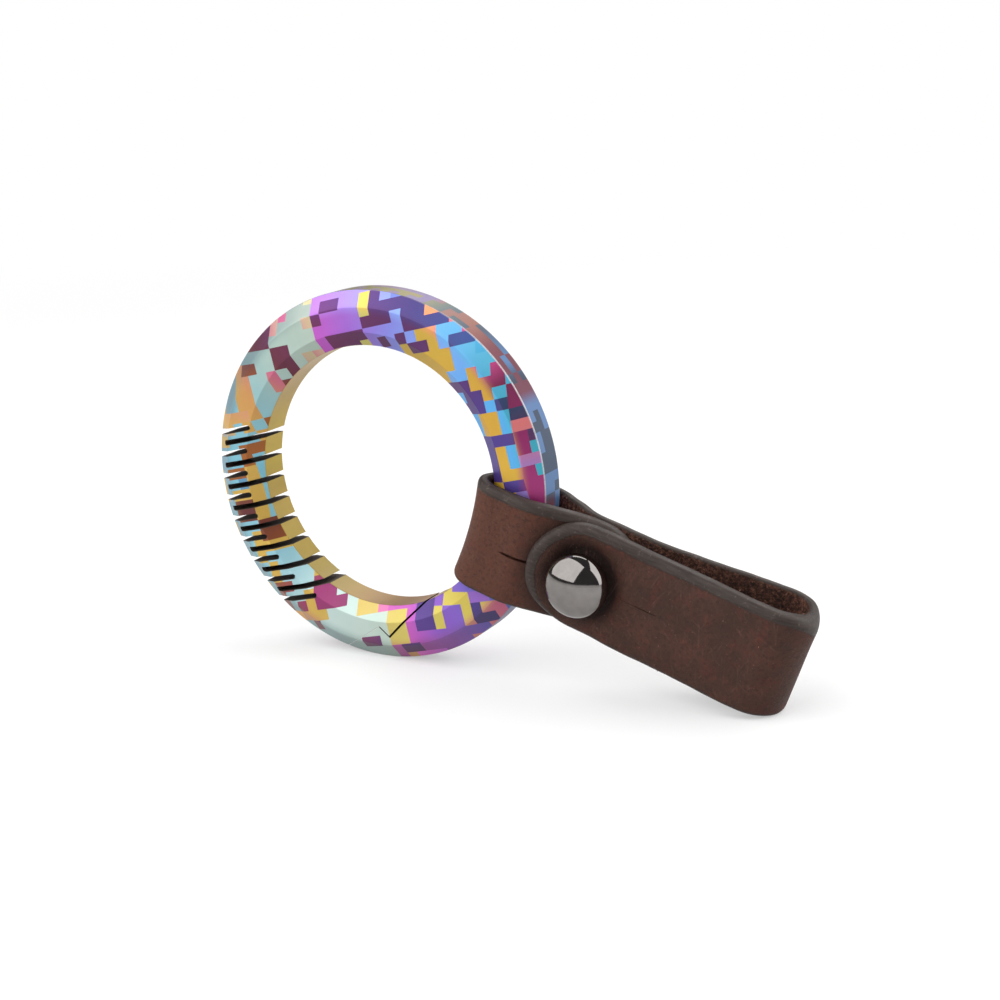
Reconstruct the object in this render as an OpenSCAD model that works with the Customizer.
// Round key clip: a sprung metal ring with a hooked gate, and a buttoned leather strap.
// The ring stands in the XZ plane with its centre at the origin and its front towards -Y.
// The strap is drawn with its length along X, its thickness along Y and its width along Z,
// and is then turned down until its far end rests on the surface that the ring stands on.

/* [Ring] */
// Outer diameter of the ring
ring_od = 48; // [45:0.5:60]
// Diameter of the hole through the ring
hole_d = 34; // [28:0.5:37]
// Thickness of the ring from front to back
ring_t = 7; // [5:0.1:10]
// Width of the flat rim round the outside
rim_w = 3.9; // [2:0.1:4.8]
// Width of the wall of the hole
wall_w = 4; // [2:0.1:4.8]
// Radial width of the bevel beside the rim
outer_bevel = 2; // [0.6:0.1:2.8]
// Radial width of the bevel beside the hole
inner_bevel = 1.9; // [0.6:0.1:2.8]

/* [Spring] */
// Width of each spring slot
slot_w = 0.7; // [0.4:0.05:1.1]
// Distance between neighbouring slots that open to the same side
slot_pitch = 2.92; // [2.5:0.02:3.2]
// Slope of the slots against the horizontal
slot_angle = 13.5; // [5:0.5:25]
// Place of the middle slot along the row of slots
spring_middle = -2.3; // [-4:0.1:0]
// Metal left between the rim and the end of a slot that opens to the hole
outer_web = 1.25; // [0.8:0.05:2]
// Metal left between the hole and the end of a slot that opens to the rim
inner_web = 1.85; // [0.8:0.05:2.6]

/* [Gate] */
// Angle at which the joint line leaves the hole
joint_inner_angle = 292.5; // [286.5:0.5:298.5]
// Angle of the gate's toe, the lowest corner of the hook
toe_angle = 275.2; // [273.5:0.1:278.5]
// Distance of the toe outside the middle of the ring's section
toe_out = 0.2; // [0:0.05:0.8]
// Angle of the tooth on the ring that holds the toe
tooth_angle = 271.4; // [268.5:0.1:272.5]
// Distance of the tooth inside the middle of the ring's section
tooth_in = 1; // [0.4:0.05:1.6]
// Angle at which the joint line leaves the rim
joint_outer_angle = 257; // [252.5:0.5:262.5]
// Gap along the joint line from the hole to the toe
lead_gap = 0.4; // [0.2:0.05:0.8]
// Gap between the toe and the tooth
hook_gap = 0.25; // [0.1:0.05:0.4]
// Gap along the joint line from the tooth to the rim
lip_gap = 0.15; // [0.1:0.05:0.4]

/* [Strap] */
// Width of the leather
strap_w = 14; // [10:0.1:18]
// Thickness of the leather
leather_t = 1.8; // [1.2:0.1:2.4]
// Reach of the strap's far end from the ring's centre
strap_reach = 59; // [54:0.2:75]
// Radius of the corners at the strap's far end
end_corner_r = 2; // [0.5:0.1:4]
// Play between the leather fold and the wall of the hole
fold_play = 0.2; // [0.1:0.05:0.6]
// Play between the leather and the faces of the ring
face_play = 0.4; // [0.1:0.05:0.8]
// Inside radius of the fold's two bends round the ring
fold_bend_r = 2; // [0.8:0.1:3.2]
// Distance past the rim at which the two legs of the fold meet
neck_run = 4.4; // [3.8:0.1:5.6]
// Length at the neck over which the two legs are one
neck_join = 0.3; // [0.1:0.05:1]
// Distance past the screw's head at which the back layer turns away
loop_start = 0.6; // [0.5:0.1:4]
// Clear depth of the belt loop at its deepest
loop_depth = 6.3; // [4.5:0.1:9]
// Play between two layers of leather that lie on a slope
lap_play = 0.05; // [0.02:0.01:0.3]
// Length of each button slit from the stud's centre
slit_l = 10.6; // [7:0.2:12]
// Width of each button slit
slit_w = 0.3; // [0.1:0.05:0.6]

/* [Stud] */
// Room between the neck of the strap and the screw's head
stud_room = 0.1; // [0.05:0.05:2]
// Diameter of the stud's flattened ball
ball_d = 8; // [7.6:0.1:9]
// Depth of the ball along its axis
ball_depth = 5.2; // [4.6:0.1:6]
// Radius of the ball's edge
ball_edge_r = 1.9; // [1.4:0.1:2.1]
// Height of the ball's centre above the front layer
ball_rise = 1.6; // [1.4:0.1:3.2]
// Diameter of the stud's neck
neck_d = 4; // [3.6:0.1:5]
// Diameter of the stud's flange
flange_d = 8; // [6:0.1:10]
// Thickness of the stud's flange
flange_t = 0.8; // [0.5:0.1:1]
// Diameter of the screw
screw_d = 2.5; // [2:0.1:3]
// Depth of the screw in the stud, from the back of the flange
screw_depth = 4; // [2:0.1:4.4]
// Diameter of the screw's head
head_d = 5.6; // [4:0.1:8]
// Thickness of the screw's head
head_t = 1.2; // [0.8:0.1:2]
// Width of the driver slot in the screw's head
driver_w = 0.8; // [0.5:0.1:1.2]
// Depth of the driver slot
driver_depth = 0.6; // [0.3:0.1:0.7]
// Play between the stud and the leather
stud_play = 0.1; // [0.05:0.05:0.3]
// Play between the screw and what it passes through
screw_play = 0.05; // [0.02:0.01:0.2]

/* [Hidden] */

$fn = 96;
link_count = 7;
ring_r = ring_od / 2;
hole_r = hole_d / 2;
mid_r = (ring_r + hole_r) / 2;
far = 2 * ring_r;

// A slot that opens to the hole lies on each side of every link.
hole_slots = link_count + 1;
rim_slots = link_count + 2;

// The strap's own places: distances along X and heights along Y.
half_w = strap_w / 2;
inner_h = ring_t / 2 + face_play;
fold_x = sqrt(hole_r * hole_r - half_w * half_w) - fold_play;
knee_x = ring_r - outer_bevel + fold_play;
neck_x = ring_r + neck_run;
stud_x = neck_x + stud_room + head_d / 2;
back_y = leather_t / 2;
lap_y = -leather_t / 2;
flap_y = -3 * leather_t / 2;
front_y = -5 * leather_t / 2;
ball_y = front_y - ball_rise;

// The belt loop's bend is tangent to the flap and to the back layer.
bend_r = loop_depth / 2;
bend_c = [strap_reach - leather_t - bend_r, flap_y + bend_r];
turn_p = [stud_x + head_d / 2 + loop_start, lap_y];
turn_v = bend_c - turn_p;
back_slope = atan2(turn_v[1], turn_v[0]) + asin(bend_r / norm(turn_v));
back_n = [-sin(back_slope), cos(back_slope)];

// The front and back legs of the fold slope to the neck.
front_slope = atan2(inner_h + lap_y, neck_x - knee_x);
back_leg_slope = atan2(inner_h - lap_y, neck_x - knee_x);

// The strap is turned down until its lower corner is as low as the rim.
corner_x = strap_reach - end_corner_r;
corner_z = half_w - end_corner_r;
strap_angle = atan2(corner_z, corner_x)
    - asin((ring_r - end_corner_r) / norm([corner_x, corner_z]));

function polar(r, a) = [r * cos(a), r * sin(a)];
function left_of(v) = [-v[1], v[0]] / norm(v);
function meet(p, u, q, v) = p + u * cross(q - p, v) / cross(u, v);

// Joint line of the gate, from the hole to the rim. The ring lies to its left.
gate_a = polar(hole_r, joint_inner_angle);
gate_b = polar(mid_r + toe_out, toe_angle);
gate_c = polar(mid_r - tooth_in, tooth_angle);
gate_d = polar(ring_r, joint_outer_angle);
ring_a = gate_a + left_of(gate_b - gate_a) * lead_gap;
hook_p = gate_b + left_of(gate_c - gate_b) * hook_gap;
ring_d = gate_d + left_of(gate_d - gate_c) * lip_gap;
ring_b = meet(ring_a, gate_b - gate_a, hook_p, gate_c - gate_b);
ring_c = meet(hook_p, gate_c - gate_b, ring_d, gate_d - gate_c);

// Places of the slots across the row, counted from the top
function hole_slot_y(k) = -(spring_middle + ((hole_slots - 1) / 2 - k) * slot_pitch);
function rim_slot_y(k) = -(spring_middle + ((rim_slots - 1) / 2 - k) * slot_pitch);

// Reach along a slot to a given radius
function slot_reach(r, y) = sqrt(r * r - y * y);

// A point given along and across the slots, in the ring's plane
function in_row(p) = [
    p[0] * cos(180 + slot_angle) - p[1] * sin(180 + slot_angle),
    p[0] * sin(180 + slot_angle) + p[1] * cos(180 + slot_angle)
];

// Flat outlines in the XZ plane become solids along Y.
module through_ring() {
    rotate([90, 0, 0])
        linear_extrude(height = 2 * ring_t, center = true)
            children();
}

module ring_blank() {
    rotate([90, 0, 0])
        rotate_extrude()
            polygon([
                [hole_r, -wall_w / 2],
                [hole_r + inner_bevel, -ring_t / 2],
                [ring_r - outer_bevel, -ring_t / 2],
                [ring_r, -rim_w / 2],
                [ring_r, rim_w / 2],
                [ring_r - outer_bevel, ring_t / 2],
                [hole_r + inner_bevel, ring_t / 2],
                [hole_r, wall_w / 2]
            ]);
}

module slot_row() {
    rotate(180 + slot_angle) {
        for (k = [0 : hole_slots - 1]) {
            y = hole_slot_y(k);
            end = slot_reach(ring_r - outer_web, y) - slot_w / 2;
            translate([0, y - slot_w / 2]) square([end, slot_w]);
            translate([end, y]) circle(d = slot_w);
        }
        for (k = [0 : rim_slots - 1]) {
            y = rim_slot_y(k);
            start = slot_reach(hole_r + inner_web, y) + slot_w / 2;
            translate([start, y - slot_w / 2]) square([far, slot_w]);
            translate([start, y]) circle(d = slot_w);
        }
    }
}

// Everything below a line across the slots, up to one side of the joint line
module below_slot(y, a, b, c, d) {
    polygon([
        in_row([0, y]),
        in_row([far, y]),
        [-far, -far],
        [d[0], -far],
        d + (d - c) / 4,
        c,
        b,
        a + (a - b) / 4
    ]);
}

module ring_body() {
    color("mediumorchid")
        difference() {
            ring_blank();
            through_ring() slot_row();
            through_ring() below_slot(hole_slot_y(0), ring_a, ring_b, ring_c, ring_d);
        }
}

module spring_link(k) {
    color("skyblue")
        difference() {
            intersection() {
                ring_blank();
                through_ring()
                    rotate(180 + slot_angle)
                        translate([0, hole_slot_y(k - 1)]) square([far, slot_pitch]);
            }
            through_ring() slot_row();
        }
}

module gate_arm() {
    color("goldenrod")
        difference() {
            intersection() {
                ring_blank();
                through_ring()
                    below_slot(hole_slot_y(link_count), gate_a, gate_b, gate_c, gate_d);
            }
            through_ring() slot_row();
        }
}

module strap_place() {
    rotate([0, -strap_angle, 0]) children();
}

// A side outline of the strap, drawn in XY, becomes leather across the strap's width.
module leather() {
    color("saddlebrown")
        linear_extrude(height = strap_w, center = true)
            children();
}

// Side outline of the fold at a distance outside the face that meets the ring
module fold_outline(out) {
    flat_x = fold_x + fold_bend_r;
    bend_y = inner_h - fold_bend_r;
    flat_y = inner_h + out;
    front_n = [sin(front_slope), -cos(front_slope)] * out;
    back_leg_n = [sin(back_leg_slope), cos(back_leg_slope)] * out;
    front_knee = [knee_x, -inner_h];
    back_knee = [knee_x, inner_h];
    neck = [neck_x, lap_y];
    translate([fold_x - out, -bend_y]) square([knee_x - fold_x, 2 * bend_y]);
    for (side = [-1, 1])
        translate([flat_x, side * bend_y]) circle(r = fold_bend_r + out);
    polygon([
        [flat_x, -flat_y],
        [knee_x, -flat_y],
        front_knee + front_n,
        neck + front_n,
        neck + back_leg_n,
        back_knee + back_leg_n,
        [knee_x, flat_y],
        [flat_x, flat_y]
    ]);
    if (out > 0) {
        translate(front_knee) circle(r = out);
        translate(back_knee) circle(r = out);
    }
}

// Slit through the leather on one side of the stud
module button_slit(side) {
    translate([side > 0 ? stud_x : stud_x - slit_l, -far, -slit_w / 2])
        cube([slit_l, 2 * far, slit_w]);
}

// Cylinder on the stud's axis, between two heights
module on_stud(r, low, high) {
    translate([stud_x, high, 0])
        rotate([90, 0, 0])
            cylinder(r = r, h = high - low);
}

// Flattened ball of the stud: a dome on each side of a round edge, with room round it
module stud_ball(room) {
    edge_r = ball_edge_r + room;
    edge_x = ball_d / 2 + room - edge_r;
    dome_h = ball_depth / 2 + room;
    dome_r = (edge_x * edge_x + dome_h * dome_h - edge_r * edge_r) / (2 * (dome_h - edge_r));
    translate([stud_x, ball_y, 0])
        rotate([90, 0, 0])
            rotate_extrude() {
                intersection() {
                    translate([0, -dome_h])
                        square([edge_x * dome_r / (dome_r - edge_r), 2 * dome_h]);
                    translate([0, dome_h - dome_r]) circle(r = dome_r);
                    translate([0, dome_r - dome_h]) circle(r = dome_r);
                }
                translate([edge_x, 0]) circle(r = edge_r);
            }
}

// Room for the stud's flange in the front of the back layer
module flange_pocket() {
    on_stud(flange_d / 2 + stud_play, lap_y - stud_play, lap_y + flange_t);
}

// Round end of the strap about the stud, as seen from the front
module round_end(side) {
    on_stud(half_w, -far, far);
    translate([side > 0 ? stud_x - far : stud_x, -far, -half_w])
        cube([far, 2 * far, strap_w]);
}

module ring_fold() {
    strap_place()
        difference() {
            leather()
                difference() {
                    intersection() {
                        fold_outline(leather_t);
                        translate([0, -far]) square([neck_x, 2 * far]);
                    }
                    intersection() {
                        fold_outline(0);
                        translate([0, -far]) square([neck_x - neck_join, 2 * far]);
                    }
                }
            intersection() {
                button_slit(-1);
                translate([0, -far, -far]) cube([far, far + lap_y, 2 * far]);
            }
            flange_pocket();
        }
}

module lapped_end() {
    strap_place()
        difference() {
            intersection() {
                leather()
                    translate([neck_x, flap_y])
                        square([stud_x + half_w - neck_x, leather_t]);
                round_end(1);
            }
            on_stud(neck_d / 2 + stud_play, -far, far);
            button_slit(-1);
        }
}

module strap_back() {
    tangent = bend_c + back_n * bend_r;
    strap_place()
        difference() {
            leather()
                polygon([
                    [neck_x, lap_y],
                    turn_p,
                    tangent,
                    tangent + back_n * leather_t,
                    [turn_p[0] - leather_t * tan(back_slope / 2), back_y],
                    [neck_x, back_y]
                ]);
            flange_pocket();
            on_stud(screw_d / 2 + stud_play, lap_y, back_y + leather_t);
        }
}

// Far end of the strap as seen from the front, with its two round corners
module far_end() {
    rotate([90, 0, 0])
        linear_extrude(height = 2 * far, center = true) {
            translate([0, -half_w]) square([corner_x, strap_w]);
            translate([0, -corner_z]) square([strap_reach, 2 * corner_z]);
            for (side = [-1, 1])
                translate([corner_x, side * corner_z]) circle(r = end_corner_r);
        }
}

module belt_fold() {
    strap_place()
        intersection() {
            leather()
                translate(bend_c)
                    intersection() {
                        difference() {
                            circle(r = bend_r + leather_t);
                            circle(r = bend_r);
                        }
                        polygon([
                            [0, 0],
                            polar(far, -90),
                            polar(far, -30),
                            polar(far, 30),
                            polar(far, 90),
                            polar(far, 90 + back_slope)
                        ]);
                    }
            far_end();
        }
}

module strap_flap() {
    slope_t = leather_t + lap_play;
    lift_x = neck_x + (slope_t / cos(front_slope) - leather_t) / tan(front_slope);
    tip_x = stud_x - half_w - leather_t;
    tip_y = flap_y - (lift_x - tip_x) * tan(front_slope);
    lift_n = [-sin(front_slope), -cos(front_slope)];
    strap_place()
        difference() {
            intersection() {
                leather()
                    polygon([
                        [bend_c[0], flap_y],
                        [lift_x, flap_y],
                        [tip_x, tip_y],
                        [tip_x, tip_y] + lift_n * leather_t,
                        [lift_x - leather_t * tan(front_slope / 2), front_y],
                        [bend_c[0], front_y]
                    ]);
                round_end(-1);
            }
            on_stud(neck_d / 2 + stud_play, -far, far);
            stud_ball(stud_play);
            button_slit(1);
        }
}

module button_stud() {
    flange_y = lap_y + flange_t;
    color("dimgray")
        strap_place()
            difference() {
                union() {
                    on_stud(flange_d / 2, lap_y, flange_y);
                    on_stud(neck_d / 2, ball_y, lap_y);
                    stud_ball(0);
                }
                on_stud(screw_d / 2 + screw_play, flange_y - screw_depth - screw_play, flange_y);
            }
}

module stud_screw() {
    color("silver")
        strap_place()
            difference() {
                union() {
                    on_stud(screw_d / 2, lap_y + flange_t - screw_depth, back_y);
                    on_stud(head_d / 2, back_y, back_y + head_t);
                }
                translate([stud_x - head_d, back_y + head_t - driver_depth, -driver_w / 2])
                    cube([2 * head_d, head_t, driver_w]);
            }
}

ring_body();
for (k = [1 : link_count])
    spring_link(k);
gate_arm();
ring_fold();
lapped_end();
strap_back();
belt_fold();
strap_flap();
button_stud();
stud_screw();
